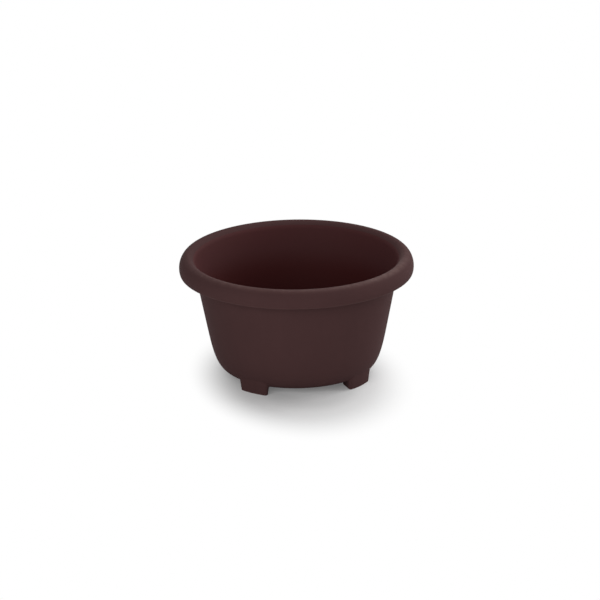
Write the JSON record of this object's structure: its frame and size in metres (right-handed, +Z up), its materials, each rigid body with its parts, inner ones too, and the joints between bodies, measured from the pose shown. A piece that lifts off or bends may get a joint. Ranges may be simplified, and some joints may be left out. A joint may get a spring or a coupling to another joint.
{
  "type": "plant pot",
  "caption": "Round bowl-shaped plant pot in moulded plastic with a thick rolled rim, a tapered wall, a rounded shoulder, drain holes and low feet.",
  "frame": {"origin": "on the ground under the middle of the pot, at the centre of the bounding box's bottom face", "axes": "+Z up along the pot's own axis; -Y is the side the picture looks at; the feet lie on the diagonals between X and Y"},
  "size_m": [0.3, 0.3, 0.159],
  "materials": {
    "moulded_plastic": "satin, dark chocolate brown, coloured right through"
  },
  "bodies": {
    "root": {"pot_floor": "moulded_plastic", "pot_shoulder": "moulded_plastic", "pot_wall": "moulded_plastic", "rim_roll": "moulded_plastic", "rim_skirt": "moulded_plastic", "foot_front_left": "moulded_plastic", "foot_front_right": "moulded_plastic", "foot_back_left": "moulded_plastic", "foot_back_right": "moulded_plastic"}
  },
  "joints": []
}
